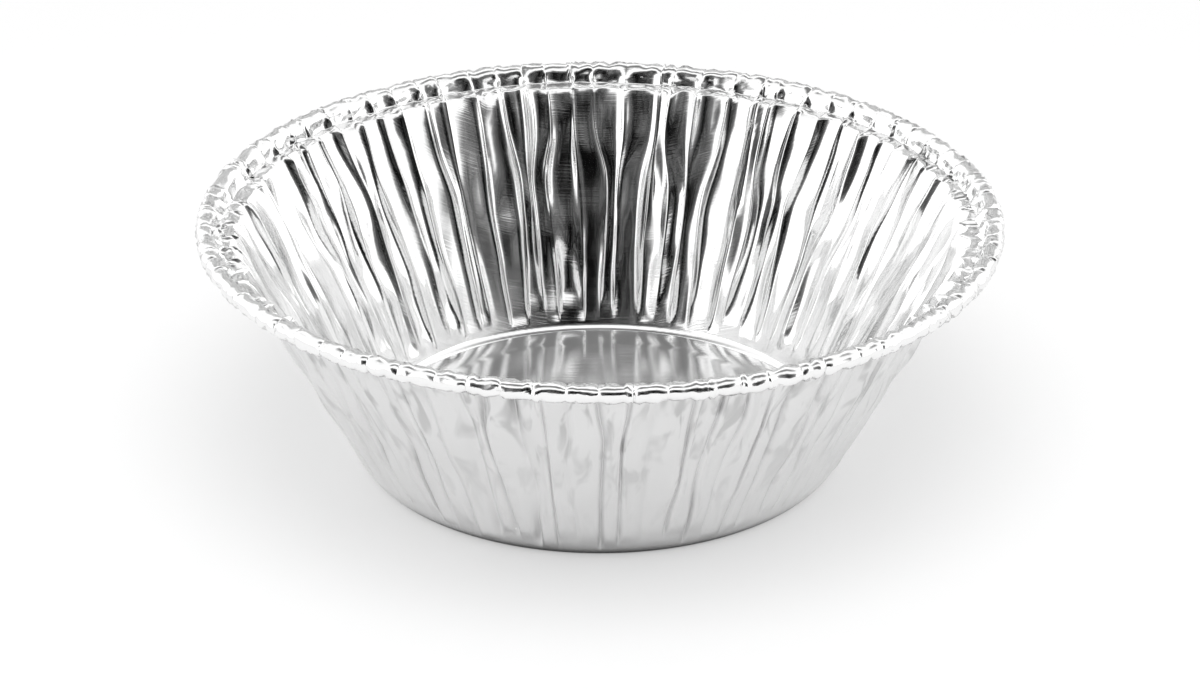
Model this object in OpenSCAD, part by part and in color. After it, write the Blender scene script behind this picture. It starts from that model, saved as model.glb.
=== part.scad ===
// A round foil bowl pressed from one flat sheet: a raised floor panel, a narrow ring to stand
// on, a flared side wall with crinkled folds, and a ledge, a step and a rolled bead as its rim.
// The bowl stands on the XY plane with +Z up, and angles are counted from +Y towards +X.

/* [Bowl] */
// Diameter over the rolled rim
rim_d = 100; // [80:1:150]
// Height from the table to the top of the rim
bowl_h = 32.5; // [24:0.5:60]
// Diameter at which the line of the side wall meets the table
foot_d = 61.2; // [40:0.2:76]
// Thickness of the foil
foil_t = 0.1; // [0.05:0.01:0.2]

/* [Rim] */
// Height and width of the rolled bead
bead_d = 2.55; // [1.6:0.05:4]
// How far round the foil's edge is rolled, in degrees
bead_turn = 300; // [225:5:310]
// How far the ledge lies below the top of the rim
ledge_drop = 2.5; // [1.6:0.1:6]
// Width of the ledge at the top of the side wall
ledge_w = 1.8; // [0.5:0.05:3]
// How far the step from the ledge to the bead leans outwards
step_lean = 0.5; // [0.1:0.05:1.5]
// How far the rim wavers up and down
rim_wave = 0.3; // [0:0.05:0.6]
// Greatest depth of the nips across the bead
nip_depth = 0.28; // [0:0.02:0.4]
// Share of the folds' lines that nip the bead
nip_share = 0.6; // [0.1:0.05:1]

/* [Foot] */
// Radius of the bend between the ring and the side wall
foot_bend_r = 1.6; // [0.4:0.1:2.4]
// Width of the flat ring that the bowl stands on
ring_w = 0.3; // [0.2:0.1:2]
// Width of the slope from the ring up to the floor panel
panel_slope_w = 0.15; // [0.1:0.05:1]
// Height of the floor panel's edge over the ring
panel_edge_h = 0.9; // [0.3:0.1:2]
// Height of the flat middle of the floor panel over the ring
panel_h = 0.5; // [0.2:0.1:2]
// Width of the band in which the panel climbs to its edge
panel_band_w = 3.4; // [1:0.1:8]

/* [Folds] */
// Number of folds around the side wall
fold_count = 80; // [48:1:82]
// Depth of a fold at the top of the side wall
fold_depth = 1.3; // [0:0.05:1.8]
// Depth of a fold where it has just begun
fold_depth_low = 0.6; // [0:0.05:1.2]
// Height above the table at which the lowest folds begin
fold_start_h = 1.7; // [1.6:0.1:8]
// How much higher than the lowest one a fold may begin
fold_start_spread = 2.4; // [0:0.1:4]
// Height over which a fold reaches its depth
fold_growth_h = 2.2; // [1:0.1:6]
// Share of the folds that stay faint
faint_share = 0.2; // [0:0.05:0.6]
// Unevenness of the folds' spacing, as a share of it
spacing_jitter = 0.62; // [0:0.02:0.7]
// Slow sideways drift of a fold on its way up, as a share of the spacing
sideways_drift = 0.13; // [0:0.01:0.15]
// Rings of points up the side wall, from the start of the folds to the ledge
wall_rings = 7; // [5:1:8]

/* [Hidden] */

// The places where folds run together: angle, share of the wall's height, strength, and 1 where
// the folds stay close above the place, or -1 where they stay close below it
gathers = [
    [-118, 0.55, 0.7, 1], [-106, 0.8, 0.6, -1], [-95, 0.35, 0.7, 1], [-84, 0.6, 0.72, -1],
    [-72, 0.72, 0.7, 1], [-60, 0.5, 0.66, -1], [-48, 0.75, 0.7, -1], [-38.5, 0.4, 0.66, 1],
    [-28, 0.6, 0.75, -1], [-14, 0.62, 0.74, -1], [-5, 0.84, 0.6, 1], [3.3, 0.63, 0.74, -1],
    [10.7, 0.8, 0.6, 1], [17.4, 0.6, 0.75, -1], [28, 0.72, 0.7, 1], [37, 0.6, 0.72, -1],
    [46, 0.4, 0.66, -1], [57, 0.7, 0.7, 1], [69, 0.45, 0.66, -1], [80, 0.7, 0.7, 1],
    [93, 0.5, 0.7, -1], [105, 0.78, 0.6, -1], [117, 0.42, 0.7, 1], [129, 0.66, 0.7, -1],
    [141, 0.5, 0.66, 1], [153, 0.74, 0.7, -1], [165, 0.45, 0.7, 1], [177, 0.68, 0.7, -1],
    [-171, 0.4, 0.66, 1], [-160, 0.7, 0.72, -1], [-149, 0.5, 0.7, 1], [-137, 0.8, 0.6, -1],
    [-128, 0.45, 0.7, -1]
];
// How far a gathering place reaches, in degrees to the side and as a share of the wall's height,
// and how much further up or down the folds stay close
gather_reach = 4.6;
gather_reach_up = 0.15;
gather_hold = 2.6;
// How strongly a faint fold is folded, and the range for the others
faint_strength = 0.2;
least_strength = 0.75;
strength_range = 0.5;
// A wide fold grows no deeper beyond this share of its even room
widest_room = 1.4;
// Turns that a line's sideways drift makes up the wall, at least and by chance
drift_turns = 0.4;
drift_turns_range = 0.5;
// Share of a fold's depth that is left where the ledge meets the step
depth_at_step = 0.35;
// Where the rings of points lie round the bead's curl, in degrees from straight outwards: at every
// eighth of a turn over the top, then in two equal steps under it to the foil's edge
bead_angles = [180, 135, 90, 45, 0, (180 - bead_turn) / 2, 180 - bead_turn];
// The first bend's middle ring lies this far round it, in degrees from straight outwards
bend_middle = -60;

// Each fold is drawn by one line along its crest and one along its trough
lines = 2 * fold_count;

// Section through the middle of the foil
foot_r = foot_d / 2;
bead_r = (bead_d - foil_t) / 2;
bead_mid_r = rim_d / 2 - bead_d / 2;
bead_mid_z = bowl_h - bead_d / 2;
ledge_z = bowl_h - ledge_drop;
ledge_out_r = bead_mid_r - bead_r - step_lean;
mouth_r = ledge_out_r - ledge_w;
wall_slant = atan2(ledge_z, mouth_r - foot_r);
bend_run = foot_bend_r * tan(wall_slant / 2);
ring_z = foil_t / 2;
bend_z = ring_z + foot_bend_r;
ring_out_r = foot_r - bend_run;
ring_in_r = ring_out_r - ring_w;
panel_r = ring_in_r - panel_slope_w;

// A fixed number from 0 to 1 that looks random, for whole number n and purpose p
function chance(n, p) = let (v = 437.5 * sin(23.75 * n + 61.25 * p + 7.3125)) v - floor(v);
function limit(v) = min(max(v, 0), 1);
// An angle brought into the range from -180 to 180
function turned(a) = a - 360 * floor((a + 180) / 360);
function fold_no(n) = n - lines * floor(n / lines);

// Where line n runs at share s of the wall's height, before and after the gathering places
function even_angle(n) = 360 * n / lines;
function loose_angle(n, s) = let (k = fold_no(n)) even_angle(n) + even_angle(1) * (
    spacing_jitter * (chance(k, 1) - 0.5)
    + sideways_drift * sin(360 * (s * (drift_turns + drift_turns_range * chance(k, 2)) + chance(k, 3))));
function pull(a, s, g) = let (
    x = turned(a - g[0]) / gather_reach,
    y = (s - g[1]) / gather_reach_up / ((s - g[1]) * g[3] > 0 ? gather_hold : 1)
) -g[2] * gather_reach * x * exp(-x * x - y * y);
function sum(list, i = 0) = i < len(list) ? list[i] + sum(list, i + 1) : 0;
function line_angle(n, s) = let (a = loose_angle(n, s)) a + sum([for (g = gathers) pull(a, s, g)]);

// How strongly line n is folded: crests point into the bowl and troughs away from it
function strength(n) = (n % 2 == 0 ? 1 : -1)
    * (chance(n, 4) < faint_share ? faint_strength : least_strength + strength_range * chance(n, 5));
// Room between the neighbours of line n, as a share of its even room
function room(n, s) = (line_angle(n + 1, s) - line_angle(n - 1, s)) / (2 * even_angle(1));
function start_h(n) = fold_start_h + fold_start_spread * chance(n, 6);
// How far line n stands into the bowl at height z and share s of the wall's height
function fold(n, s, z) = strength(n) * min(room(n, s), widest_room) / 2
    * (fold_depth_low + (fold_depth - fold_depth_low) * s)
    * limit((z - start_h(n)) / fold_growth_h);
// Share of the bead's thickness that is left where line n nips it
function nip(n) = 1 - nip_depth * limit(1 - chance(n, 7) / nip_share) / bead_r;
// How far the rim dips at angle a, in three long waves and seven short ones
function dip(a) = rim_wave * (0.5 + 0.3 * sin(3 * a + 40) + 0.2 * sin(7 * a));

// Rings of the section: radius, height, share of the wall's height, share of the fold's depth,
// share of the rim's dip, and 1 on the bead
bend_part = [for (a = [bend_middle, wall_slant - 90]) [
    ring_out_r + foot_bend_r * cos(a), bend_z + foot_bend_r * sin(a), 0, 0, 0, 0]];
low_rings = concat([
    [panel_r - panel_band_w, ring_z + panel_h, 0, 0, 0, 0],
    [panel_r, ring_z + panel_edge_h, 0, 0, 0, 0],
    [ring_in_r, ring_z, 0, 0, 0, 0],
    [ring_out_r, ring_z, 0, 0, 0, 0]
], bend_part);
function wall_h(i) = i == 0 ? fold_start_h
    : fold_start_h + fold_growth_h
        + (ledge_z - fold_start_h - fold_growth_h) * (i - 1) / (wall_rings - 2);
wall_part = [for (i = [0:wall_rings - 1]) let (z = wall_h(i), s = z / ledge_z) [
    foot_r + (mouth_r - foot_r) * s, z, s, 1, s * s, 0]];
bead_part = [for (a = bead_angles) [
    bead_mid_r + bead_r * cos(a), bead_mid_z + bead_r * sin(a), 1, 0, 1, 1]];
high_rings = concat(wall_part, [[ledge_out_r, ledge_z, 1, depth_at_step, 1, 0]], bead_part);
rings = concat(low_rings, high_rings);

// Directions across the foil at ring i, long enough to keep its thickness at a bend
function heading(i) = let (
    p = rings[max(i, 0)], q = rings[min(i + 1, len(rings) - 1)], d = [q[0] - p[0], q[1] - p[1]]
) [-d[1], d[0]] / norm(d);
function across(i) = let (
    m = heading(min(i, len(rings) - 2)), k = heading(max(i - 1, 0))
) (m + k) / (1 + m * k);

// A point of ring i on line n, on the upper face (side 1) or the under face (side -1)
function foil_point(i, n, side) = let (
    g = rings[i],
    a = line_angle(n, g[2]),
    shrink = g[5] == 1 ? nip(n) : 1,
    r = bead_mid_r + (g[0] - bead_mid_r) * shrink - g[3] * fold(n, g[2], g[1]),
    z = g[5] == 1 ? bead_mid_z + (g[1] - bead_mid_z) * shrink : g[1],
    c = across(i) * side * foil_t / 2
) [(r + c[0]) * sin(a), (r + c[0]) * cos(a), z + c[1] - g[4] * dip(a)];

// The low rings have one point for each fold, and the high ones have two
low = len(low_rings);
total = len(rings);
function step_of(i) = i < low ? 2 : 1;
function count_of(i) = lines / step_of(i);
function first_of(i) = i <= low ? i * fold_count : low * fold_count + (i - low) * lines;
face_points = first_of(total);

points = [for (side = [1, -1], i = [0:total - 1], k = [0:count_of(i) - 1])
    foil_point(i, k * step_of(i), side)];

// The number of point k of ring i on the upper face (0) or the under face (1)
function at(i, k, under) = under * face_points + first_of(i) + k % count_of(i);
function flip(f, under) = under == 1 ? f : [f[2], f[1], f[0]];
function band(i, under) = [for (k = [0:count_of(i) - 1]) each
    step_of(i) == step_of(i + 1)
    ? [
        flip([at(i, k, under), at(i, k + 1, under), at(i + 1, k + 1, under)], under),
        flip([at(i, k, under), at(i + 1, k + 1, under), at(i + 1, k, under)], under)
    ]
    : [
        flip([at(i, k, under), at(i + 1, 2 * k + 1, under), at(i + 1, 2 * k, under)], under),
        flip([at(i, k, under), at(i, k + 1, under), at(i + 1, 2 * k + 1, under)], under),
        flip([at(i, k + 1, under), at(i + 1, 2 * k + 2, under), at(i + 1, 2 * k + 1, under)], under)
    ]];
function floor_face(under) = let (f = [for (k = [0:fold_count - 1]) at(0, k, under)])
    under == 1 ? [for (k = [fold_count - 1:-1:0]) f[k]] : f;
cut_edge = [for (k = [0:lines - 1]) each [
    [at(total - 1, k, 0), at(total - 1, k + 1, 1), at(total - 1, k + 1, 0)],
    [at(total - 1, k, 0), at(total - 1, k, 1), at(total - 1, k + 1, 1)]
]];

faces = concat(
    [floor_face(0), floor_face(1)],
    [for (under = [0, 1], i = [0:total - 2]) each band(i, under)],
    cut_edge
);

// The whole bowl, pressed and folded from one sheet of foil
module bowl() {
    color([0.84, 0.85, 0.86])
        polyhedron(points = points, faces = faces, convexity = 12);
}

bowl();
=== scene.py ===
import math

import bpy
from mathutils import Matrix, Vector


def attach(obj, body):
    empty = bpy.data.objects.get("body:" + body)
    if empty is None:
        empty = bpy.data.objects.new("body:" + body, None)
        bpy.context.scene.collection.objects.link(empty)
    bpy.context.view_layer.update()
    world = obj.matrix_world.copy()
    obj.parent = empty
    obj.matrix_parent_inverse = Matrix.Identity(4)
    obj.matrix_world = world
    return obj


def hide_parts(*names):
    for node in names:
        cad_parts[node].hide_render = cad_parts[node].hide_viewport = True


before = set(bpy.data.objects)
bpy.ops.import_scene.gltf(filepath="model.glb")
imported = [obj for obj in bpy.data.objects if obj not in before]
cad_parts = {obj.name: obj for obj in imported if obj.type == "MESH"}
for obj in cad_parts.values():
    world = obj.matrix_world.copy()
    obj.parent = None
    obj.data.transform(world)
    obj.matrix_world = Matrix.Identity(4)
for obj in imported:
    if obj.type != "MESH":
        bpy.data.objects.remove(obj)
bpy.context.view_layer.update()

# The camera
# The photograph looks along +Y from 26 degrees above the table, through a long lens. These values
# were fitted to the outlines of the rim, the mouth, the floor panel and the foot.
camera_elevation = math.radians(26.35)
camera_distance = 0.4183
camera_aim = Vector((0, 0, 0.0131))

camera_data = bpy.data.cameras.new("photo_camera")
camera_data.sensor_width = 36
camera_data.lens = 99.2
camera_data.clip_start = 0.02
camera_data.clip_end = 20
camera = bpy.data.objects.new("photo_camera", camera_data)
towards_camera = Vector((0, -math.cos(camera_elevation), math.sin(camera_elevation)))
camera.location = camera_aim + camera_distance * towards_camera
camera.rotation_euler = (-towards_camera).to_track_quat("-Z", "Y").to_euler()
bpy.context.scene.collection.objects.link(camera)
bpy.context.scene.camera = camera


# The foil bowl
# One round blank of thin aluminium foil is pressed over a block. The spare width of the side wall
# gathers into crinkled folds, the floor panel stays flat, and the edge is rolled into a bead.

# Sizes in millimetres, as in the part's source
rim_d, bowl_h, foot_d, foil_t = 100, 32.5, 61.2, 0.1
bead_d, bead_turn, ledge_drop, ledge_w, step_lean = 2.55, 300, 2.5, 1.8, 0.5
foot_bend_r, ring_w, panel_slope_w = 1.6, 0.3, 0.15
panel_edge_h, panel_h, panel_band_w = 0.9, 0.5, 3.4

bead_r = (bead_d - foil_t) / 2
bead_mid_r = rim_d / 2 - bead_d / 2
bead_mid_z = bowl_h - bead_d / 2
ledge_z = bowl_h - ledge_drop
ledge_out_r = bead_mid_r - bead_r - step_lean
mouth_r = ledge_out_r - ledge_w
foot_r = foot_d / 2
ring_z = foil_t / 2
wall_run = (mouth_r - foot_r) / ledge_z
ring_in_r = foot_r - foot_bend_r * math.tan(math.atan2(1, wall_run) / 2) - ring_w
panel_r = ring_in_r - panel_slope_w


def rounded(corners):
    """The line through the corners: each is a place, its bend's radius and the points in the bend."""
    line = [Vector(corners[0][0])]
    for (before, _, _), (corner, bend_r, count), (after, _, _) in zip(corners, corners[1:], corners[2:]):
        here = Vector(corner)
        back, ahead = (Vector(before) - here).normalized(), (Vector(after) - here).normalized()
        turn = math.pi - back.angle(ahead)
        run = bend_r * math.tan(turn / 2)
        middle = here + (back + ahead).normalized() * bend_r / math.cos(turn / 2)
        start, end = here + back * run - middle, here + ahead * run - middle
        line += [middle + (start * math.sin((1 - i / (count - 1)) * turn)
                           + end * math.sin(i / (count - 1) * turn)) / math.sin(turn) for i in range(count)]
    return line + [Vector(corners[-1][0])]


# The section through the middle of the foil, as (radius, height), from the centre to the curl's edge.
# The side wall's rows lie closer together near its foot.
flat_row_radii, last_flat_r = (0, 5, 11, 17), 22
band_bend_r, panel_edge_bend_r, ring_bend_r, foot_end_z = 9, 0.28, 0.1, 1.15
wall_rows, first_wall_z, last_wall_z, wall_crowding = 26, 1.45, 29.2, 1.25
ledge_bend_r, step_bend_r, bead_row_turn = 0.3, 0.25, 25
panel_line = [Vector((r, ring_z + panel_h)) for r in flat_row_radii]
foot_line = rounded([
    ((last_flat_r, ring_z + panel_h), 0, 0),
    ((panel_r - panel_band_w, ring_z + panel_h), band_bend_r, 3),
    ((panel_r, ring_z + panel_edge_h), panel_edge_bend_r, 5),
    ((ring_in_r, ring_z), ring_bend_r, 3),
    ((foot_r + wall_run * ring_z, ring_z), foot_bend_r, 5),
    ((foot_r + wall_run * foot_end_z, foot_end_z), 0, 0),
])
wall_heights = [first_wall_z + (last_wall_z - first_wall_z) * (i / (wall_rows - 1)) ** wall_crowding
                for i in range(wall_rows)]
wall_line = [Vector((foot_r + wall_run * z, z)) for z in wall_heights]
rim_line = rounded([
    (tuple(wall_line[-1]), 0, 0),
    ((mouth_r, ledge_z), ledge_bend_r, 4),
    ((ledge_out_r, ledge_z), step_bend_r, 4),
    ((bead_mid_r - bead_r, bead_mid_z), 0, 0),
])[1:]
# The ledge and the step have rows between their bends too, for their creases and crimps
longest_stretch = 0.5
rim_line = [a.lerp(b, i / parts) for a, b in zip(rim_line, rim_line[1:])
            for parts in [math.ceil((b - a).length / longest_stretch)] for i in range(parts)]
bead_line = [Vector((bead_mid_r + bead_r * math.cos(math.radians(a)),
                     bead_mid_z + bead_r * math.sin(math.radians(a))))
             for a in range(180, 179 - bead_turn, -bead_row_turn)]
foil_line = panel_line + foot_line + wall_line + rim_line + bead_line

# What the folding tree needs to know at each point of the section. The folds fade over the ledge and
# end in the bead's first rows, as the creases do, and there the nips begin.
fold_loss_on_ledge, fold_at_step, fold_at_bead, fold_loss_per_row = 0.65, 0.3, 0.12, 0.04
crease_gain_on_ledge, crease_at_bead, crease_loss_per_row, nip_rows = 3, 0.7, 0.35, 2
directions = [(b - a).normalized() for a, b in zip(foil_line, foil_line[1:])]
section_rows = []
length = 0
bead_start = len(foil_line) - len(bead_line)
for i, point in enumerate(foil_line):
    before, after = directions[max(i - 1, 0)], directions[min(i, len(directions) - 1)]
    normal = Vector((-before.y - after.y, before.x + after.x)) / (1 + before.dot(after))
    length += (point - foil_line[max(i - 1, 0)]).length
    share = min(point.y / ledge_z, 1)
    over_ledge = (point.x - mouth_r) / ledge_w
    round_bead = i - bead_start
    if round_bead >= 0:
        shares = (1, max(fold_at_bead - fold_loss_per_row * round_bead, 0), 1)
        nip_share = min(round_bead / nip_rows, 1)
        crease_share = max(crease_at_bead - crease_loss_per_row * round_bead, 0)
    else:
        fold_share = max(min(1, 1 - fold_loss_on_ledge * over_ledge), fold_at_step)
        shares = (share, fold_share, 1 if over_ledge > 0 else share ** 2)
        nip_share = 0
        crease_share = min(max(over_ledge, 0) * crease_gain_on_ledge, 1)
    section_rows.append((point, normal * foil_t / 2, shares, nip_share, crease_share, length))
upper_rows = [(row, 1) for row in section_rows]
# The under face has the same rows up the side wall, and every second one elsewhere
wall_start = len(panel_line) + len(foot_line)
curl_row = len(section_rows) - 1
under_rows = [(section_rows[i], -1) for i in range(curl_row, -1, -1)
              if wall_start <= i < wall_start + wall_rows or i % 2 == 0 or i == curl_row]
all_rows = upper_rows + under_rows

section_mesh = bpy.data.meshes.new("foil_section")
section_mesh.from_pydata([(row[0].x, 0, row[0].y) for row, side in all_rows], [], [])
section_values = {
    "across": [(row[1].x * side, row[4], row[1].y * side) for row, side in all_rows],
    "shares": [row[2] for row, side in all_rows],
    "marks": [(row[3], side, row[5]) for row, side in all_rows],
}
for name, values in section_values.items():
    attribute = section_mesh.attributes.new(name, "FLOAT_VECTOR", "POINT")
    attribute.data.foreach_set("vector", [x for value in values for x in value])

# The places where folds run together: angle from +Y towards +X, share of the wall's height, strength,
# and 1 where the folds stay close above the place, or -1 where they stay close below it
gathers = [
    (-118, 0.55, 0.7, 1), (-106, 0.8, 0.6, -1), (-95, 0.35, 0.7, 1), (-84, 0.6, 0.72, -1),
    (-72, 0.72, 0.7, 1), (-60, 0.5, 0.66, -1), (-48, 0.75, 0.7, -1), (-38.5, 0.4, 0.66, 1),
    (-28, 0.6, 0.75, -1), (-14, 0.62, 0.74, -1), (-5, 0.84, 0.6, 1), (3.3, 0.63, 0.74, -1),
    (10.7, 0.8, 0.6, 1), (17.4, 0.6, 0.75, -1), (28, 0.72, 0.7, 1), (37, 0.6, 0.72, -1),
    (46, 0.4, 0.66, -1), (57, 0.7, 0.7, 1), (69, 0.45, 0.66, -1), (80, 0.7, 0.7, 1),
    (93, 0.5, 0.7, -1), (105, 0.78, 0.6, -1), (117, 0.42, 0.7, 1), (129, 0.66, 0.7, -1),
    (141, 0.5, 0.66, 1), (153, 0.74, 0.7, -1), (165, 0.45, 0.7, 1), (177, 0.68, 0.7, -1),
    (-171, 0.4, 0.66, 1), (-160, 0.7, 0.72, -1), (-149, 0.5, 0.7, 1), (-137, 0.8, 0.6, -1),
    (-128, 0.45, 0.7, -1),
]


def new_tree(name, inputs, outputs):
    """A geometry tree with these named inputs and outputs: (name, kind of socket, value at first)."""
    tree = bpy.data.node_groups.new(name, "GeometryNodeTree")
    for side, sockets in (("INPUT", inputs), ("OUTPUT", outputs)):
        for label, kind, value in sockets:
            socket = tree.interface.new_socket(label, in_out=side, socket_type="NodeSocket" + kind)
            if value is not None:
                socket.default_value = value
    return tree, tree.nodes.new("NodeGroupInput").outputs, tree.nodes.new("NodeGroupOutput").inputs


def add(tree, kind, inputs=(), out=0, **settings):
    """Adds a node with its settings, sets or links its inputs, and gives one of its outputs."""
    node = tree.nodes.new(kind)
    for name, value in settings.items():
        setattr(node, name, value)
    for key, value in inputs.items() if isinstance(inputs, dict) else enumerate(inputs):
        if isinstance(value, bpy.types.NodeSocket):
            tree.links.new(value, node.inputs[key])
        elif value is not None:
            node.inputs[key].default_value = value
    return node.outputs[out]


# A fixed number from 0 to 1 that looks random, for a whole number and a purpose
number_step, number_start, purpose_step, scatter = 23.75, 7.3125, 61.25, 437.5
chance_tree, given, result = new_tree(
    "chance", [("Number", "Float", 0), ("Purpose", "Float", 0)], [("Chance", "Float", None)])
angle = add(chance_tree, "ShaderNodeMath", (given["Number"], number_step, number_start),
            operation="MULTIPLY_ADD")
angle = add(chance_tree, "ShaderNodeMath", (given["Purpose"], purpose_step, angle),
            operation="MULTIPLY_ADD")
angle = add(chance_tree, "ShaderNodeMath", (angle, 360), operation="FLOORED_MODULO")
angle = add(chance_tree, "ShaderNodeMath", (angle,), operation="RADIANS")
value = add(chance_tree, "ShaderNodeMath", (angle,), operation="SINE")
value = add(chance_tree, "ShaderNodeMath", (value, scatter), operation="MULTIPLY")
value = add(chance_tree, "ShaderNodeMath", (value,), operation="FRACT")
chance_tree.links.new(value, result["Chance"])

# How far one gathering place turns a line towards itself, in degrees. It reaches some degrees to the
# sides and a share of the wall's height up and down, and further on the side where it holds the folds.
gather_reach, gather_reach_up, gather_hold = 4.6, 0.15, 2.6
pull_tree, given, result = new_tree(
    "pull", [("Angle", "Float", 0), ("Share", "Float", 0), ("Place angle", "Float", 0),
             ("Place share", "Float", 0), ("Strength", "Float", 0), ("Held side", "Float", 1)],
    [("Turn", "Float", None)])
x = add(pull_tree, "ShaderNodeMath", (given["Angle"], given["Place angle"]), operation="SUBTRACT")
x = add(pull_tree, "ShaderNodeMath", (x, 180, -180), operation="WRAP")
x = add(pull_tree, "ShaderNodeMath", (x, gather_reach), operation="DIVIDE")
y = add(pull_tree, "ShaderNodeMath", (given["Share"], given["Place share"]), operation="SUBTRACT")
y = add(pull_tree, "ShaderNodeMath", (y, given["Held side"]), operation="MULTIPLY")
held = add(pull_tree, "ShaderNodeMath", (y, 0), operation="MAXIMUM")
freed = add(pull_tree, "ShaderNodeMath", (y, 0), operation="MINIMUM")
y = add(pull_tree, "ShaderNodeMath", (held, 1 / gather_hold, freed), operation="MULTIPLY_ADD")
y = add(pull_tree, "ShaderNodeMath", (y, gather_reach_up), operation="DIVIDE")
square = add(pull_tree, "ShaderNodeMath", (y, y), operation="MULTIPLY")
square = add(pull_tree, "ShaderNodeMath", (x, x, square), operation="MULTIPLY_ADD")
fade = add(pull_tree, "ShaderNodeMath", (square, -1), operation="MULTIPLY")
fade = add(pull_tree, "ShaderNodeMath", (fade,), operation="EXPONENT")
turn = add(pull_tree, "ShaderNodeMath", (x, fade), operation="MULTIPLY")
turn = add(pull_tree, "ShaderNodeMath", (turn, given["Strength"]), operation="MULTIPLY")
turn = add(pull_tree, "ShaderNodeMath", (turn, -gather_reach), operation="MULTIPLY")
pull_tree.links.new(turn, result["Turn"])

# Where a line, the crest or the trough of a fold, runs at a share of the wall's height. Chance moves
# it off its even place and lets it drift from side to side on its way up.
drift_turns, drift_turns_range = 0.4, 0.5
line_tree, given, result = new_tree(
    "fold line", [("Line", "Float", 0), ("Share", "Float", 0), ("Lines", "Float", 160),
                  ("Spacing jitter", "Float", 0), ("Sideways drift", "Float", 0)],
    [("Angle", "Float", None)])
number = add(line_tree, "ShaderNodeMath", (given["Line"], given["Lines"]), operation="FLOORED_MODULO")
chances = [add(line_tree, "GeometryNodeGroup", node_tree=chance_tree, inputs=(number, p)) for p in (1, 2, 3)]
jitter = add(line_tree, "ShaderNodeMath", (chances[0], 0.5), operation="SUBTRACT")
place = add(line_tree, "ShaderNodeMath", (jitter, given["Spacing jitter"], given["Line"]),
            operation="MULTIPLY_ADD")
turns = add(line_tree, "ShaderNodeMath", (chances[1], drift_turns_range, drift_turns),
            operation="MULTIPLY_ADD")
turns = add(line_tree, "ShaderNodeMath", (turns, given["Share"], chances[2]), operation="MULTIPLY_ADD")
drift = add(line_tree, "ShaderNodeMath", (turns, 2 * math.pi), operation="MULTIPLY")
drift = add(line_tree, "ShaderNodeMath", (drift,), operation="SINE")
place = add(line_tree, "ShaderNodeMath", (drift, given["Sideways drift"], place), operation="MULTIPLY_ADD")
spacing = add(line_tree, "ShaderNodeMath", (360, given["Lines"]), operation="DIVIDE")
loose_angle = add(line_tree, "ShaderNodeMath", (place, spacing), operation="MULTIPLY")
line_angle = loose_angle
for gather in gathers:
    turn = add(line_tree, "GeometryNodeGroup", node_tree=pull_tree,
               inputs=(loose_angle, given["Share"], *gather))
    line_angle = add(line_tree, "ShaderNodeMath", (line_angle, turn), operation="ADD")
line_tree.links.new(line_angle, result["Angle"])

# How far a line stands into the bowl, in millimetres: crests inwards and troughs outwards. It has its
# named depth where the lines beside it are two even spacings apart, and more where they are wider.
fold_tree, given, result = new_tree(
    "fold depth", [("Line", "Float", 0), ("Angle before", "Float", 0), ("Angle after", "Float", 0),
                   ("Share", "Float", 0), ("Height", "Float", 0), ("Lines", "Float", 160),
                   ("Depth", "Float", 0), ("Depth low", "Float", 0), ("Start", "Float", 0),
                   ("Start spread", "Float", 0), ("Growth", "Float", 0), ("Faint share", "Float", 0)],
    [("Depth", "Float", None)])
faint_strength, least_strength, strength_range, widest_room = 0.2, 0.75, 0.5, 1.4
number = add(fold_tree, "ShaderNodeMath", (given["Line"], given["Lines"]), operation="FLOORED_MODULO")
chances = [add(fold_tree, "GeometryNodeGroup", node_tree=chance_tree, inputs=(number, p)) for p in (4, 5, 6)]
faint = add(fold_tree, "ShaderNodeMath", (chances[0], given["Faint share"]), operation="LESS_THAN")
strong = add(fold_tree, "ShaderNodeMath", (chances[1], strength_range, least_strength),
             operation="MULTIPLY_ADD")
strength = add(fold_tree, "ShaderNodeMix", {0: faint, 2: strong, 3: faint_strength})
odd = add(fold_tree, "ShaderNodeMath", (number, 2), operation="FLOORED_MODULO")
sign = add(fold_tree, "ShaderNodeMath", (odd, -2, 1), operation="MULTIPLY_ADD")
strength = add(fold_tree, "ShaderNodeMath", (strength, sign), operation="MULTIPLY")
gap = add(fold_tree, "ShaderNodeMath", (given["Angle after"], given["Angle before"]), operation="SUBTRACT")
room = add(fold_tree, "ShaderNodeMath", (gap, given["Lines"]), operation="MULTIPLY")
room = add(fold_tree, "ShaderNodeMath", (room, 2 * 360), operation="DIVIDE")
room = add(fold_tree, "ShaderNodeMath", (room, widest_room), operation="MINIMUM")
depth = add(fold_tree, "ShaderNodeMix", {0: given["Share"], 2: given["Depth low"], 3: given["Depth"]})
start = add(fold_tree, "ShaderNodeMath", (chances[2], given["Start spread"], given["Start"]),
            operation="MULTIPLY_ADD")
grown = add(fold_tree, "ShaderNodeMath", (given["Height"], start), operation="SUBTRACT")
grown = add(fold_tree, "ShaderNodeMath", (grown, given["Growth"]), operation="DIVIDE", use_clamp=True)
# The fold's lower end is blunt like a finger: it rises along a quarter of a circle
left = add(fold_tree, "ShaderNodeMath", (2, grown), operation="SUBTRACT")
grown = add(fold_tree, "ShaderNodeMath", (grown, left), operation="MULTIPLY")
grown = add(fold_tree, "ShaderNodeMath", (grown,), operation="SQRT")
depth = add(fold_tree, "ShaderNodeMath", (depth, grown), operation="MULTIPLY")
depth = add(fold_tree, "ShaderNodeMath", (depth, room), operation="MULTIPLY")
depth = add(fold_tree, "ShaderNodeMath", (depth, strength), operation="MULTIPLY")
depth = add(fold_tree, "ShaderNodeMath", (depth, 0.5), operation="MULTIPLY")
fold_tree.links.new(depth, result["Depth"])

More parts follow.
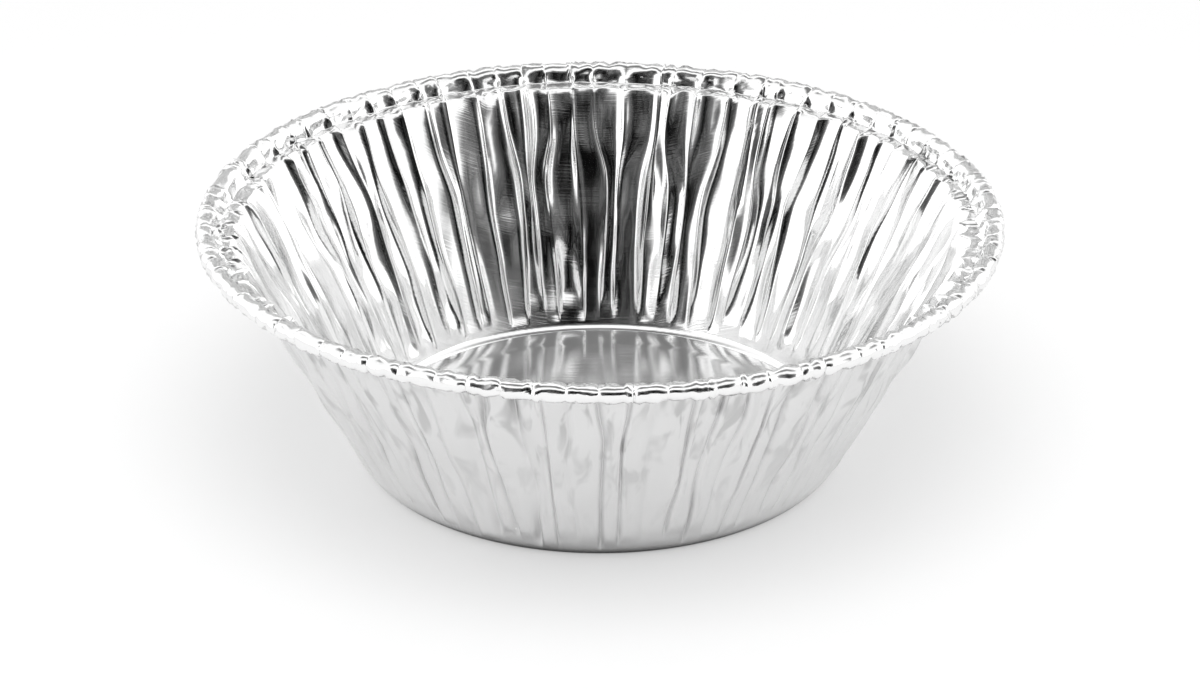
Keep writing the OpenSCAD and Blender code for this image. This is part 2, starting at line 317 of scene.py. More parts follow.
# The whole bowl: the section is swept round and folded. A little is added before a division's result
# is rounded down, so that a whole number stays itself.
bowl_sizes = {
    "Folds": 80, "Fold depth": 1.1, "Fold depth low": 0.55, "Fold start": 1.3,
    "Fold start spread": 2.7, "Fold growth": 1.5, "Faint share": 0.2, "Spacing jitter": 0.62,
    "Sideways drift": 0.13, "Crest sharpness": 4.0, "Fold variation": 0.9, "Streak depth": 0.1,
    "Dent depth": 0.3, "Panel unevenness": 0.1, "Nip depth": 0.28, "Nip variation": 0.65,
    "Crease height": 0.55, "Rim crimp": 0.26, "Rim wave": 0.3, "Parts between lines": 5,
}
bowl_tree, given, result = new_tree(
    "pressed bowl", [("Section", "Geometry", None), ("Foil", "Material", None)]
    + [(name, "Float", None) for name in bowl_sizes], [("Bowl", "Geometry", None)])
lines = add(bowl_tree, "ShaderNodeMath", (given["Folds"], 2), operation="MULTIPLY")
parts = given["Parts between lines"]
columns = add(bowl_tree, "ShaderNodeMath", (lines, parts), operation="MULTIPLY")
tube = add(bowl_tree, "GeometryNodeMeshCylinder", {
    "Vertices": columns, "Side Segments": len(all_rows) - 1}, fill_type="NONE")

index = add(bowl_tree, "GeometryNodeInputIndex")
row = add(bowl_tree, "ShaderNodeMath", (index, columns), operation="DIVIDE")
row = add(bowl_tree, "ShaderNodeMath", (row, 0.0005), operation="ADD")
row = add(bowl_tree, "ShaderNodeMath", (row,), operation="FLOOR")
passed = add(bowl_tree, "ShaderNodeMath", (row, columns), operation="MULTIPLY")
column = add(bowl_tree, "ShaderNodeMath", (index, passed), operation="SUBTRACT")
line = add(bowl_tree, "ShaderNodeMath", (column, parts), operation="DIVIDE")
line = add(bowl_tree, "ShaderNodeMath", (line, 0.01), operation="ADD")
line = add(bowl_tree, "ShaderNodeMath", (line,), operation="FLOOR")
passed = add(bowl_tree, "ShaderNodeMath", (line, parts), operation="MULTIPLY")
part = add(bowl_tree, "ShaderNodeMath", (column, passed), operation="SUBTRACT")
part = add(bowl_tree, "ShaderNodeMath", (part, parts), operation="DIVIDE")

# The columns crowd towards the crests. A line with an even number is a crest.
column_crowding, least_sharpness, sharpness_range = 1.9, 0.4, 1.5
odd = add(bowl_tree, "ShaderNodeMath", (line, 2), operation="FLOORED_MODULO")
odd_part = add(bowl_tree, "ShaderNodeMath", (1, part), operation="SUBTRACT")
off_crest = add(bowl_tree, "ShaderNodeMix", {0: odd, 2: part, 3: odd_part})
off_crest = add(bowl_tree, "ShaderNodeMath", (off_crest, column_crowding), operation="POWER")
off_trough = add(bowl_tree, "ShaderNodeMath", (1, off_crest), operation="SUBTRACT")
part = add(bowl_tree, "ShaderNodeMix", {0: odd, 2: off_crest, 3: off_trough})
# Between a trough and a crest the foil rises slowly out of the trough and rounds over the crest,
# and some crests are sharper than others
crest_line = add(bowl_tree, "ShaderNodeMath", (line, odd), operation="ADD")
crest_line = add(bowl_tree, "ShaderNodeMath", (crest_line, lines), operation="FLOORED_MODULO")
sharpness = add(bowl_tree, "GeometryNodeGroup", node_tree=chance_tree, inputs=(crest_line, 9))
sharpness = add(bowl_tree, "ShaderNodeMath", (sharpness, sharpness_range, least_sharpness),
                operation="MULTIPLY_ADD")
sharpness = add(bowl_tree, "ShaderNodeMath", (sharpness, given["Crest sharpness"]), operation="MULTIPLY")
rise = add(bowl_tree, "ShaderNodeMath", (off_trough, sharpness), operation="POWER")
rise = add(bowl_tree, "ShaderNodeMath", (rise, math.pi), operation="MULTIPLY")
rise = add(bowl_tree, "ShaderNodeMath", (rise,), operation="COSINE")
rise = add(bowl_tree, "ShaderNodeMath", (rise, -0.5, 0.5), operation="MULTIPLY_ADD")
fall = add(bowl_tree, "ShaderNodeMath", (1, rise), operation="SUBTRACT")
next_weight = add(bowl_tree, "ShaderNodeMix", {0: odd, 2: fall, 3: rise})

# The section's values at this row
section_at = {}
for name in ("position", "across", "shares", "marks"):
    field = (add(bowl_tree, "GeometryNodeInputPosition") if name == "position" else
             add(bowl_tree, "GeometryNodeInputNamedAttribute", (name,), data_type="FLOAT_VECTOR"))
    sampled = add(bowl_tree, "GeometryNodeSampleIndex",
                  {"Geometry": given["Section"], "Value": field, "Index": row}, data_type="FLOAT_VECTOR")
    section_at[name] = [add(bowl_tree, "ShaderNodeSeparateXYZ", (sampled,), out=i) for i in range(3)]
section_r, _, section_z = section_at["position"]
across_r, crease_share, across_z = section_at["across"]
share, fold_share, dip_share = section_at["shares"]
nip_share, side, blank_r = section_at["marks"]

# The two lines on either side of this column, and the lines beyond them
near_lines = [add(bowl_tree, "ShaderNodeMath", (line, i), operation="ADD") for i in (-1, 0, 1, 2)]
angles = [add(bowl_tree, "GeometryNodeGroup", node_tree=line_tree, inputs=(
    near_line, share, lines, given["Spacing jitter"], given["Sideways drift"])) for near_line in near_lines]
angle = add(bowl_tree, "ShaderNodeMix", {0: part, 2: angles[1], 3: angles[2]})
folds = [add(bowl_tree, "GeometryNodeGroup", node_tree=fold_tree, inputs=(
    near_lines[i], angles[i - 1], angles[i + 1], share, section_z, lines, given["Fold depth"],
    given["Fold depth low"], given["Fold start"], given["Fold start spread"], given["Fold growth"],
    given["Faint share"])) for i in (1, 2)]
fold = add(bowl_tree, "ShaderNodeMix", {0: next_weight, 2: folds[0], 3: folds[1]})

# Noise that runs along the folds: it is read on a cylinder on which every fold stands straight
even_line = add(bowl_tree, "ShaderNodeMath", (line, part), operation="ADD")
even_turn = add(bowl_tree, "ShaderNodeMath", (even_line, lines), operation="DIVIDE")
even_angle = add(bowl_tree, "ShaderNodeMath", (even_turn, 2 * math.pi), operation="MULTIPLY")
even_sin = add(bowl_tree, "ShaderNodeMath", (even_angle,), operation="SINE")
even_cos = add(bowl_tree, "ShaderNodeMath", (even_angle,), operation="COSINE")
around = add(bowl_tree, "ShaderNodeCombineXYZ", (even_sin, even_cos, share))
swell_stretch, streak_stretch, dent_stretch = (17, 17, 2.6), (38, 38, 2.2), (8, 8, 3.6)
noises = []
for stretch, detail in ((swell_stretch, 1), (streak_stretch, 2), (dent_stretch, 1)):
    place = add(bowl_tree, "ShaderNodeVectorMath", (around, stretch), operation="MULTIPLY")
    noise = add(bowl_tree, "ShaderNodeTexNoise", {"Vector": place, "Scale": 1.0, "Detail": detail})
    noises.append(add(bowl_tree, "ShaderNodeMath", (noise, 0.5), operation="SUBTRACT"))
swell_noise, streak_noise, dent_noise = noises
# The noise has to be widened to reach from about -1 to 1
noise_gain, usual_swell, least_swell, most_swell = 4, 0.9, 0.08, 1.5
swell = add(bowl_tree, "ShaderNodeMath", (swell_noise, given["Fold variation"]), operation="MULTIPLY")
swell = add(bowl_tree, "ShaderNodeMath", (swell, noise_gain, usual_swell), operation="MULTIPLY_ADD")
swell = add(bowl_tree, "ShaderNodeClamp", (swell, least_swell, most_swell))
fold = add(bowl_tree, "ShaderNodeMath", (fold, swell), operation="MULTIPLY")
# A little to the left of the back the folds are shallow, most of all in the upper half
calm_angle, calm_half_w, calm_reach = -4.5, 4, 11
calm_low_share, calm_high_share, calm_low_depth, calm_high_depth = 0.15, 0.45, 0.9, 0.4
off_calm = add(bowl_tree, "ShaderNodeMath", (angle, calm_angle), operation="SUBTRACT")
off_calm = add(bowl_tree, "ShaderNodeMath", (off_calm, 180, -180), operation="WRAP")
off_calm = add(bowl_tree, "ShaderNodeMath", (off_calm,), operation="ABSOLUTE")
least = add(bowl_tree, "ShaderNodeMapRange",
            (share, calm_low_share, calm_high_share, calm_low_depth, calm_high_depth))
calm = add(bowl_tree, "ShaderNodeMapRange", (off_calm, calm_half_w, calm_reach, least, 1),
           interpolation_type="SMOOTHSTEP")
fold = add(bowl_tree, "ShaderNodeMath", (fold, calm), operation="MULTIPLY")
# Streaks and dents begin above the wall's foot
dents_begin_z, dents_full_z = 3, 11
on_wall = add(bowl_tree, "ShaderNodeMapRange", (section_z, dents_begin_z, dents_full_z),
              interpolation_type="SMOOTHSTEP")
streak = add(bowl_tree, "ShaderNodeMath", (streak_noise, given["Streak depth"]), operation="MULTIPLY")
dent = add(bowl_tree, "ShaderNodeMath", (dent_noise, given["Dent depth"], streak),
           operation="MULTIPLY_ADD")
dent = add(bowl_tree, "ShaderNodeMath", (dent, noise_gain), operation="MULTIPLY")
fold = add(bowl_tree, "ShaderNodeMath", (dent, on_wall, fold), operation="MULTIPLY_ADD")
fold = add(bowl_tree, "ShaderNodeMath", (fold, fold_share), operation="MULTIPLY")

# Where a line crosses the rim it nips the bead in a groove and raises a crease across the ledge and
# the step
nip_narrowness, crease_narrowness, trough_crease_loss = 6, 4.5, 0.65
far_part = add(bowl_tree, "ShaderNodeMath", (1, part), operation="SUBTRACT")
grooves, ridges = [], []
for near_line, near in ((near_lines[1], far_part), (near_lines[2], part)):
    number = add(bowl_tree, "ShaderNodeMath", (near_line, lines), operation="FLOORED_MODULO")
    chance = add(bowl_tree, "GeometryNodeGroup", node_tree=chance_tree, inputs=(number, 7))
    nip = add(bowl_tree, "ShaderNodeMath", (chance, given["Nip variation"]), operation="MULTIPLY")
    nip = add(bowl_tree, "ShaderNodeMath", (1, nip), operation="SUBTRACT")
    narrow = add(bowl_tree, "ShaderNodeMath", (near, nip_narrowness), operation="POWER")
    grooves.append(add(bowl_tree, "ShaderNodeMath", (nip, narrow), operation="MULTIPLY"))
    # A crest's crease is high and a trough's is low
    low = add(bowl_tree, "ShaderNodeMath", (number, 2), operation="FLOORED_MODULO")
    crease = add(bowl_tree, "ShaderNodeMath", (low, -trough_crease_loss, 1), operation="MULTIPLY_ADD")
    crease = add(bowl_tree, "ShaderNodeMath", (crease, nip), operation="MULTIPLY")
    narrow = add(bowl_tree, "ShaderNodeMath", (near, crease_narrowness), operation="POWER")
    ridges.append(add(bowl_tree, "ShaderNodeMath", (crease, narrow), operation="MULTIPLY"))
groove = add(bowl_tree, "ShaderNodeMath", grooves, operation="ADD")
groove = add(bowl_tree, "ShaderNodeMath", (groove, given["Nip depth"]), operation="MULTIPLY")
groove = add(bowl_tree, "ShaderNodeMath", (groove, -1 / bead_r), operation="MULTIPLY")
shrink = add(bowl_tree, "ShaderNodeMath", (groove, nip_share, 1), operation="MULTIPLY_ADD")
ridge = add(bowl_tree, "ShaderNodeMath", ridges, operation="ADD")
ridge = add(bowl_tree, "ShaderNodeMath", (ridge, given["Crease height"]), operation="MULTIPLY")
ridge = add(bowl_tree, "ShaderNodeMath", (ridge, crease_share), operation="MULTIPLY")
# Small crimps cover the whole rim. They go inwards only, so the rim keeps its size.
crimps_round_rim, crimps_per_mm, crimp_from, crimp_full, crimped_from = 40, 0.8, 0.4, 0.66, 0.94
round_rim = add(bowl_tree, "ShaderNodeCombineXYZ", (even_sin, even_cos, 0))
round_rim = add(bowl_tree, "ShaderNodeVectorMath", {0: round_rim, "Scale": crimps_round_rim},
                operation="SCALE")
along_rim = add(bowl_tree, "ShaderNodeMath", (blank_r, crimps_per_mm), operation="MULTIPLY")
along_rim = add(bowl_tree, "ShaderNodeCombineXYZ", (0, 0, along_rim))
place = add(bowl_tree, "ShaderNodeVectorMath", (round_rim, along_rim), operation="ADD")
noise = add(bowl_tree, "ShaderNodeTexNoise", {"Vector": place, "Scale": 1.0, "Detail": 1.0})
crimp = add(bowl_tree, "ShaderNodeMapRange", (noise, crimp_from, crimp_full, 0, 1),
            interpolation_type="SMOOTHSTEP")
crimp = add(bowl_tree, "ShaderNodeMath", (crimp, given["Rim crimp"]), operation="MULTIPLY")
on_rim = add(bowl_tree, "ShaderNodeMapRange", (dip_share, crimped_from, 1))
crimp = add(bowl_tree, "ShaderNodeMath", (crimp, on_rim), operation="MULTIPLY")
raised = add(bowl_tree, "ShaderNodeMath", (ridge, crimp), operation="SUBTRACT")
# What goes straight across the foil is added to the half thickness
raised = add(bowl_tree, "ShaderNodeMath", (raised, 2 / foil_t), operation="MULTIPLY")
half_foil = add(bowl_tree, "ShaderNodeMath", (raised, side, 1), operation="MULTIPLY_ADD")
across_r = add(bowl_tree, "ShaderNodeMath", (across_r, half_foil), operation="MULTIPLY")
across_z = add(bowl_tree, "ShaderNodeMath", (across_z, half_foil), operation="MULTIPLY")

# The rim dips in three long waves and seven short ones, by the full depth where both are at their top
long_waves, long_wave_start, long_wave_part = 3, math.radians(40), 0.3
short_waves, short_wave_part = 7, 0.2
angle = add(bowl_tree, "ShaderNodeMath", (angle,), operation="RADIANS")
long_wave = add(bowl_tree, "ShaderNodeMath", (angle, long_waves, long_wave_start),
                operation="MULTIPLY_ADD")
long_wave = add(bowl_tree, "ShaderNodeMath", (long_wave,), operation="SINE")
short_wave = add(bowl_tree, "ShaderNodeMath", (angle, short_waves), operation="MULTIPLY")
short_wave = add(bowl_tree, "ShaderNodeMath", (short_wave,), operation="SINE")
dip = add(bowl_tree, "ShaderNodeMath", (long_wave, long_wave_part, long_wave_part + short_wave_part),
          operation="MULTIPLY_ADD")
dip = add(bowl_tree, "ShaderNodeMath", (short_wave, short_wave_part, dip), operation="MULTIPLY_ADD")
dip = add(bowl_tree, "ShaderNodeMath", (dip, given["Rim wave"]), operation="MULTIPLY")
dip = add(bowl_tree, "ShaderNodeMath", (dip, dip_share), operation="MULTIPLY")

# The point's radius and height
bead_part_r = add(bowl_tree, "ShaderNodeMath", (section_r, bead_mid_r), operation="SUBTRACT")
radius = add(bowl_tree, "ShaderNodeMath", (bead_part_r, shrink, bead_mid_r), operation="MULTIPLY_ADD")
radius = add(bowl_tree, "ShaderNodeMath", (radius, fold), operation="SUBTRACT")
radius = add(bowl_tree, "ShaderNodeMath", (radius, across_r), operation="ADD")
bead_part_z = add(bowl_tree, "ShaderNodeMath", (section_z, bead_mid_z), operation="SUBTRACT")
height = add(bowl_tree, "ShaderNodeMath", (bead_part_z, shrink, bead_mid_z), operation="MULTIPLY_ADD")
height = add(bowl_tree, "ShaderNodeMath", (height, across_z), operation="ADD")
height = add(bowl_tree, "ShaderNodeMath", (height, dip), operation="SUBTRACT")

# The floor panel is a little uneven, and even again at its edge
uneven_scale, even_edge_w = 0.09, 6
flat_x = add(bowl_tree, "ShaderNodeMath", (radius, even_sin), operation="MULTIPLY")
flat_y = add(bowl_tree, "ShaderNodeMath", (radius, even_cos), operation="MULTIPLY")
place = add(bowl_tree, "ShaderNodeCombineXYZ", (flat_x, flat_y, 0))
noise = add(bowl_tree, "ShaderNodeTexNoise", {"Vector": place, "Scale": uneven_scale, "Detail": 1.0})
noise = add(bowl_tree, "ShaderNodeMath", (noise, 0.5), operation="SUBTRACT")
on_panel = add(bowl_tree, "ShaderNodeMapRange", (section_r, panel_r, panel_r - even_edge_w),
               interpolation_type="SMOOTHSTEP")
uneven = add(bowl_tree, "ShaderNodeMath", (noise, on_panel), operation="MULTIPLY")
height = add(bowl_tree, "ShaderNodeMath", (uneven, given["Panel unevenness"], height),
             operation="MULTIPLY_ADD")

metres_per_mm = 0.001
sine = add(bowl_tree, "ShaderNodeMath", (angle,), operation="SINE")
cosine = add(bowl_tree, "ShaderNodeMath", (angle,), operation="COSINE")
point_x = add(bowl_tree, "ShaderNodeMath", (radius, sine), operation="MULTIPLY")
point_y = add(bowl_tree, "ShaderNodeMath", (radius, cosine), operation="MULTIPLY")
point = add(bowl_tree, "ShaderNodeCombineXYZ", (point_x, point_y, height))
point = add(bowl_tree, "ShaderNodeVectorMath", {0: point, "Scale": metres_per_mm},
            operation="SCALE")

# Where the point lay on the flat blank, which the rolling lines follow, and which face it is on
blank_x = add(bowl_tree, "ShaderNodeMath", (blank_r, even_sin), operation="MULTIPLY")
blank_y = add(bowl_tree, "ShaderNodeMath", (blank_r, even_cos), operation="MULTIPLY")
blank = add(bowl_tree, "ShaderNodeCombineXYZ", (blank_x, blank_y, side))
bowl = add(bowl_tree, "GeometryNodeStoreNamedAttribute",
           {"Geometry": tube, "Name": "blank", "Value": blank}, data_type="FLOAT_VECTOR", domain="POINT")
bowl = add(bowl_tree, "GeometryNodeSetPosition", {"Geometry": bowl, "Position": point})

# The first and the last row are the middle of the panel's two faces
merge_distance = 1e-6
first_row = add(bowl_tree, "ShaderNodeMath", (row, 0.5), operation="LESS_THAN")
last_row = add(bowl_tree, "ShaderNodeMath", (row, len(all_rows) - 1.5), operation="GREATER_THAN")
middle = add(bowl_tree, "ShaderNodeMath", (first_row, last_row), operation="ADD")
bowl = add(bowl_tree, "GeometryNodeMergeByDistance",
           {"Geometry": bowl, "Selection": middle, "Distance": merge_distance})
bowl = add(bowl_tree, "GeometryNodeSetShadeSmooth", (bowl,))
bowl = add(bowl_tree, "GeometryNodeRealizeInstances", (bowl,))
bowl = add(bowl_tree, "GeometryNodeSetMaterial", {"Geometry": bowl, "Material": given["Foil"]})
bowl_tree.links.new(bowl, result["Bowl"])


def from_hex(code):
    """A colour written as sRGB hex, in the linear values that shaders take."""
    channels = [int(code[i:i + 2], 16) / 255 for i in (1, 3, 5)]
    return [c / 12.92 if c <= 0.04045 else ((c + 0.055) / 1.055) ** 2.4 for c in channels] + [1]


# Bright rolled aluminium foil, bare metal with no coating. The rollers leave fine parallel lines on
# it, which run along X across the flat blank. It mirrors its surroundings, a little softened where
# the press and the hands have touched it: on the floor panel and outside.
foil = bpy.data.materials.new("bright_rolled_aluminium_foil")
foil.use_nodes = True
tree = foil.node_tree
shader = tree.nodes["Principled BSDF"]
shader.inputs["Metallic"].default_value = 1
blank = add(tree, "ShaderNodeAttribute", out="Vector", attribute_name="blank")
# The real lines are a few hundredths of a millimetre apart. They are drawn about 0.25 mm apart.
changes_along, lines_per_mm, line_relief, line_depth = 0.12, 4, 0.5, 0.00002
across_lines = add(tree, "ShaderNodeVectorMath", (blank, (changes_along, lines_per_mm, 0)),
                   operation="MULTIPLY")
rolled = add(tree, "ShaderNodeTexNoise", {"Vector": across_lines, "Scale": 1.0, "Detail": 2.0})
blank_side = add(tree, "ShaderNodeSeparateXYZ", (blank,), out=2)
inside = add(tree, "ShaderNodeMath", (blank_side, 0), operation="GREATER_THAN")
ridges = add(tree, "ShaderNodeMath", (rolled, inside), operation="MULTIPLY")
relief = add(tree, "ShaderNodeBump", {"Strength": line_relief, "Distance": line_depth, "Height": ridges},
             out="Normal")
tree.links.new(relief, shader.inputs["Normal"])
# Softer on the panel and on the under face, with smudges all over
wall_roughness, panel_roughness, outside_added, rolled_added = 0.08, 0.1, 0.32, 0.05
half_blend_w = 0.5
smudge_scale, smudge_from, smudge_to, least_smudge, most_smudge = 90.0, 0.35, 0.7, -0.02, 0.05
flat_blank = add(tree, "ShaderNodeVectorMath", (blank, (1, 1, 0)), operation="MULTIPLY")
from_middle = add(tree, "ShaderNodeVectorMath", (flat_blank,), out="Value", operation="LENGTH")
inside_roughness = add(tree, "ShaderNodeMapRange", (
    from_middle, panel_r + half_blend_w, panel_r - half_blend_w, wall_roughness, panel_roughness))
outside = add(tree, "ShaderNodeMapRange", (blank_side, 0.5, -0.5, 0, 1))
smudge_place = add(tree, "ShaderNodeTexCoord", out="Object")
smudges = add(tree, "ShaderNodeTexNoise", {"Vector": smudge_place, "Scale": smudge_scale, "Detail": 3.0})
smudges = add(tree, "ShaderNodeMapRange", (smudges, smudge_from, smudge_to, least_smudge, most_smudge))
roughness = add(tree, "ShaderNodeMath", (outside, outside_added, inside_roughness),
                operation="MULTIPLY_ADD")
roughness = add(tree, "ShaderNodeMath", (roughness, smudges), operation="ADD")
roughness = add(tree, "ShaderNodeMath", (rolled, rolled_added, roughness), operation="MULTIPLY_ADD")
tree.links.new(roughness, shader.inputs["Roughness"])

# The under face is a little greyer. Its darker marks are painted shade and painted dark reflections, most of
# them below the rim, where the rim shades the outside.
shade_marks_round, shade_marks_per_mm, shade_mark_from, shade_mark_full, shade_mark_swirl = 26.0, 0.16, 0.5, 0.68, 0.6
few_shade_marks_r, many_shade_marks_r, few_shade_marks, many_shade_marks = 38, 58, 0.1, 0.8
turn = add(tree, "ShaderNodeVectorMath", (flat_blank,), operation="NORMALIZE")
turn = add(tree, "ShaderNodeVectorMath", {0: turn, "Scale": shade_marks_round}, operation="SCALE")
up_wall = add(tree, "ShaderNodeMath", (from_middle, shade_marks_per_mm), operation="MULTIPLY")
up_wall = add(tree, "ShaderNodeCombineXYZ", (0, 0, up_wall))
shade_mark_place = add(tree, "ShaderNodeVectorMath", (turn, up_wall), operation="ADD")
marks = add(tree, "ShaderNodeTexNoise",
            {"Vector": shade_mark_place, "Scale": 1.0, "Detail": 2.0, "Distortion": shade_mark_swirl})
marks = add(tree, "ShaderNodeMapRange", (marks, shade_mark_from, shade_mark_full), interpolation_type="SMOOTHSTEP")
rim_shade = add(tree, "ShaderNodeMapRange", (from_middle, few_shade_marks_r, many_shade_marks_r, few_shade_marks, many_shade_marks))
marks = add(tree, "ShaderNodeMath", (marks, rim_shade), operation="MULTIPLY")
# Where the marks lie, painted shade darkens the under face's grey towards #C2C2C2
under_tone_with_painted_shade = add(tree, "ShaderNodeMix", {
    0: marks, 6: from_hex("#E8E8E8"), 7: from_hex("#C2C2C2")}, out=2, data_type="RGBA")
tone = add(tree, "ShaderNodeMix", {0: outside, 6: from_hex("#F3F3F3"), 7: under_tone_with_painted_shade}, out=2,
           data_type="RGBA")
tree.links.new(tone, shader.inputs["Base Color"])

# The tree makes the bowl from the section once, and the result is kept as a plain mesh
section = bpy.data.objects.new("foil_section", section_mesh)
bpy.context.scene.collection.objects.link(section)
pressing = section.modifiers.new("pressing", "NODES")
pressing.node_group = bowl_tree
for item in bowl_tree.interface.items_tree:
    if item.in_out == "INPUT" and item.name in bowl_sizes:
        pressing[item.identifier] = float(bowl_sizes[item.name])
    elif item.in_out == "INPUT" and item.name == "Foil":
        pressing[item.identifier] = foil
bowl_mesh = bpy.data.meshes.new_from_object(
    section.evaluated_get(bpy.context.evaluated_depsgraph_get()))
bowl_mesh.name = "pressed_bowl"
section.modifiers.clear()
bpy.data.objects.remove(section)

bowl = bpy.data.objects.new("pressed_bowl", bowl_mesh)
bpy.context.scene.collection.objects.link(bowl)
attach(bowl, "root")
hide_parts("bowl")


# The table
# A plain white surface. It keeps the bowl's shadow, and away from the bowl it turns to plain white.
table_mesh = bpy.data.meshes.new("white_table")
half_w = 3
table_mesh.from_pydata(
    [(-half_w, -half_w, 0), (half_w, -half_w, 0), (half_w, half_w, 0), (-half_w, half_w, 0)], [],
    [(0, 1, 2, 3)])
table = bpy.data.objects.new("white_table", table_mesh)
bpy.context.scene.collection.objects.link(table)
# Matt white paint. In what the camera and the foil see of it, the lit paint is mixed with a white of
# its own, so that it reaches plain white away from the bowl and the shadow stays soft. Under the bowl
# and close to the foot, a little more in front, the foil sees none of that white. It sees a painted
# shadow, darker than the lit paint, and mirrors it as a dark line.
shade_centre, shade_r, shade_end_r = (0, -0.003, 0), 0.0278, 0.0308
mirror_end_r, mirror_share_under, mirror_share = 0.0295, 0.8, 0.45
white_from_r, white_full_r, white_near_bowl = 0.15, 0.5, 0.35
table_paint = bpy.data.materials.new("matt_white_paint")
table_paint.use_nodes = True
tree = table_paint.node_tree
painted = tree.nodes["Principled BSDF"]
painted.inputs["Base Color"].default_value = from_hex("#F4F4F4")
painted.inputs["Roughness"].default_value = 0.9
by_camera, by_foil = (add(tree, "ShaderNodeLightPath", out=ray)
                      for ray in ("Is Camera Ray", "Is Glossy Ray"))
place = add(tree, "ShaderNodeTexCoord", out="Object")
from_foot = add(tree, "ShaderNodeVectorMath", (place, shade_centre), operation="SUBTRACT")
from_foot = add(tree, "ShaderNodeVectorMath", (from_foot,), out="Value", operation="LENGTH")
# The painted shadow: in the foil's reflections the table's own white fades out under the bowl and close
# round the foot
own_light = add(tree, "ShaderNodeMapRange", (from_foot, shade_r, shade_end_r),
                interpolation_type="SMOOTHSTEP")
own_light = add(tree, "ShaderNodeMath", (own_light, by_camera), operation="MAXIMUM")
own_white = add(tree, "ShaderNodeEmission", {"Color": (1, 1, 1, 1), "Strength": own_light})
own_share = add(tree, "ShaderNodeMapRange",
                (from_foot, shade_r, mirror_end_r, mirror_share_under, mirror_share))
own_share = add(tree, "ShaderNodeMath", (by_foil, own_share), operation="MULTIPLY")
to_camera = add(tree, "ShaderNodeMapRange",
                (from_foot, white_from_r, white_full_r, white_near_bowl, 1))
own_share = add(tree, "ShaderNodeMath", (by_camera, to_camera, own_share), operation="MULTIPLY_ADD")
whitened = add(tree, "ShaderNodeMixShader", {0: own_share, 1: painted.outputs[0], 2: own_white})
tree.links.new(whitened, tree.nodes["Material Output"].inputs["Surface"])
table_mesh.materials.append(table_paint)


# The light
# A pale studio with white walls and a grey ceiling. On the photographer's side is an arched opening
# to a dark room, which the back of the bowl mirrors. One wide soft lamp hangs overhead and isn't
# mirrored. Every place in the studio is a direction from the bowl, with +X to the right, +Y behind
# and +Z up, and its tone is a level of light.
world = bpy.data.worlds.new("pale_studio")
world.use_nodes = True
bpy.context.scene.world = world
tree = world.node_tree
direction = add(tree, "ShaderNodeTexCoord", out="Generated")
shape_scale = 14.0
shapes = add(tree, "ShaderNodeTexNoise", {"Vector": direction, "Scale": shape_scale, "Detail": 2.0})
side_part, back_part, up_part = (add(tree, "ShaderNodeSeparateXYZ", (direction,), out=i) for i in range(3))
# The white walls are brightest low down, and turn to grey shapes behind the bowl
grey_middle, grey_from, grey_full, darkest_grey, lightest_grey = (0, 0.93, 0.36), 0.8, 0.93, 0.35, 0.9
low_wall_up, high_wall_up, low_wall_tone, high_wall_tone = 0.45, 0.65, 1.5, 1.1
towards_back = add(tree, "ShaderNodeVectorMath", (direction, grey_middle), out="Value",
                   operation="DOT_PRODUCT")
in_back = add(tree, "ShaderNodeMapRange", (towards_back, grey_from, grey_full),
              interpolation_type="SMOOTHSTEP")
back_tone = add(tree, "ShaderNodeMapRange", (shapes, 0.4, 0.6, darkest_grey, lightest_grey))
wall_tone = add(tree, "ShaderNodeMapRange",
                (up_part, low_wall_up, high_wall_up, low_wall_tone, high_wall_tone))
level = add(tree, "ShaderNodeMix", {0: in_back, 2: wall_tone, 3: back_tone})
# The ceiling, which is darkest just above the bowl, in a patch that is wider than it is deep
patch_stretch, patch_shift, patch_r, ceiling_r = (0.9, 2.2, 0), (-0.02, 0.05, 0), 0.35, 0.8
patch_tone, ceiling_edge_tone, ceiling_from_up, ceiling_full_up = 0.22, 1.3, 0.72, 0.84
from_darkest = add(tree, "ShaderNodeVectorMath", (direction, patch_stretch, patch_shift),
                   operation="MULTIPLY_ADD")
from_darkest = add(tree, "ShaderNodeVectorMath", (from_darkest,), out="Value", operation="LENGTH")
ceiling_tone = add(tree, "ShaderNodeMapRange",
                   (from_darkest, patch_r, ceiling_r, patch_tone, ceiling_edge_tone))
in_ceiling = add(tree, "ShaderNodeMapRange", (up_part, ceiling_from_up, ceiling_full_up),
                 interpolation_type="SMOOTHSTEP")
level = add(tree, "ShaderNodeMix", {0: in_ceiling, 2: level, 3: ceiling_tone})
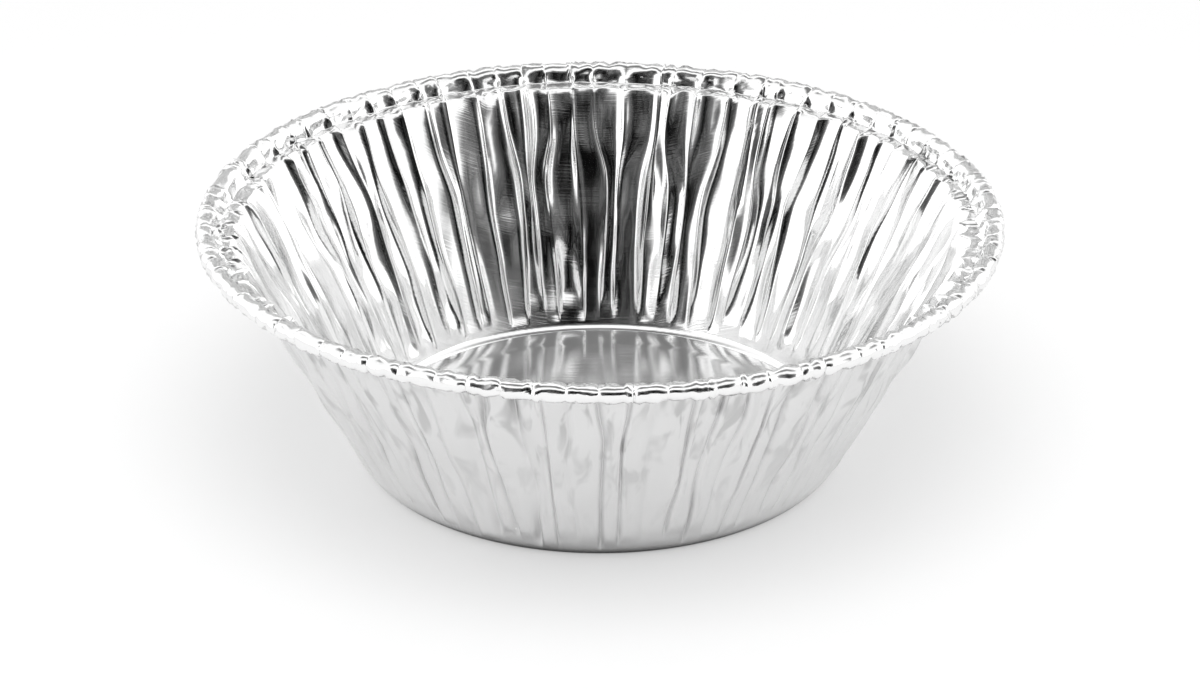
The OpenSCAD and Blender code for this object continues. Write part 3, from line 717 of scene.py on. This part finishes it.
# The dark room is seen through an opening with upright sides and an arched top and foot. How far a
# direction lies from its middle is 0 there and about 1 at its edge.
across_scale, across_shift, up_scale, up_shift, arch_bend, corner_r = 1.38, -0.14, 2.9, -1.13, 0.42, 0.3
edge_outer, edge_inner, room_black, lightest_shape = 1.1, 0.84, 0.001, 0.19
inner_r, outer_r, inner_shift, outer_shift = 0.15, 0.85, -0.1, 0.13
off_sides = add(tree, "ShaderNodeMath", (side_part, across_scale, across_shift),
                operation="MULTIPLY_ADD")
off_sides = add(tree, "ShaderNodeMath", (off_sides,), operation="ABSOLUTE")
arch = add(tree, "ShaderNodeMath", (side_part, side_part), operation="MULTIPLY")
arch = add(tree, "ShaderNodeMath", (arch, arch_bend, up_part), operation="MULTIPLY_ADD")
off_top = add(tree, "ShaderNodeMath", (arch, up_scale, up_shift), operation="MULTIPLY_ADD")
off_top = add(tree, "ShaderNodeMath", (off_top,), operation="ABSOLUTE")
off_room = add(tree, "ShaderNodeMath", (off_sides, off_top, corner_r), operation="SMOOTH_MAX")
in_room = add(tree, "ShaderNodeMapRange", (off_room, edge_outer, edge_inner),
              interpolation_type="SMOOTHSTEP")
in_front = add(tree, "ShaderNodeMath", (back_part, 0), operation="LESS_THAN")
in_room = add(tree, "ShaderNodeMath", (in_room, in_front), operation="MULTIPLY")
room_tone = add(tree, "ShaderNodeMapRange", (shapes, 0.47, 0.67, room_black, lightest_shape))
edge_tone = add(tree, "ShaderNodeMapRange", (off_room, inner_r, outer_r, inner_shift, outer_shift))
room_tone = add(tree, "ShaderNodeMath", (room_tone, edge_tone), operation="ADD")
room_tone = add(tree, "ShaderNodeMath", (room_tone, room_black), operation="MAXIMUM")
level = add(tree, "ShaderNodeMix", {0: in_room, 2: level, 3: room_tone})
# The table is lit evenly from all sides, and the camera sees plain white behind the bowl
even_light, plain_white = 0.88, 1.0
for ray, tone in (("Is Diffuse Ray", even_light), ("Is Camera Ray", plain_white)):
    seen = add(tree, "ShaderNodeLightPath", out=ray)
    level = add(tree, "ShaderNodeMix", {0: seen, 2: level, 3: tone})
tree.links.new(level, tree.nodes["Background"].inputs["Color"])

lamp_data = bpy.data.lights.new("overhead_softbox", "AREA")
lamp_data.shape = "DISK"
lamp_data.size = 0.5
lamp_data.energy = 1.6
lamp = bpy.data.objects.new("overhead_softbox", lamp_data)
lamp.location = (0, -0.25, 0.58)
lamp.visible_camera = False
lamp.visible_glossy = False
bpy.context.scene.collection.objects.link(lamp)

bpy.context.scene.view_settings.view_transform = "Standard"
